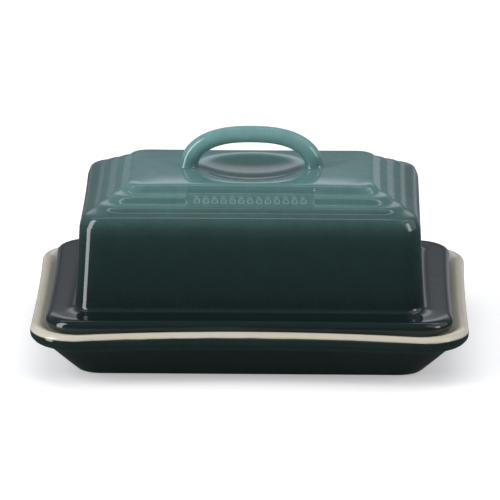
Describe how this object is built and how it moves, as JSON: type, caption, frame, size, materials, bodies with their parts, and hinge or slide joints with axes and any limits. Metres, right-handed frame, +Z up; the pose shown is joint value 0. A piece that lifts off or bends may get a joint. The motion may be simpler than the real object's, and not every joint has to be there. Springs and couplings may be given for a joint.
{
  "type": "rectangular covered butter dish",
  "caption": "Rectangular glazed stoneware butter dish: flared tray with a rolled rim and a domed, brimmed lid with stepped rings, an oval finger dip and a loop handle.",
  "frame": {"origin": "centre of the foot's resting plane, under the middle of the dish", "axes": "+Z up, +X along the long side (and along the handle's span), -Y towards the beaded front panel"},
  "size_m": [0.173, 0.128, 0.0896],
  "materials": {
    "dish_glaze": "gloss dark green glaze outside, gloss cream glaze inside and over the rim",
    "lid_glaze": "gloss, teal at the top fading to near-black green at the brim",
    "handle_glaze": "gloss teal glaze"
  },
  "bodies": {
    "dish": {"dish": "dish_glaze"},
    "lid": {"lid": "lid_glaze", "handle": "handle_glaze"}
  },
  "joints": [
    {"name": "lid_lift", "type": "slide", "parent": "dish", "child": "lid", "axis": [0, 0, 1], "range_m": [0, 0.12]}
  ]
}
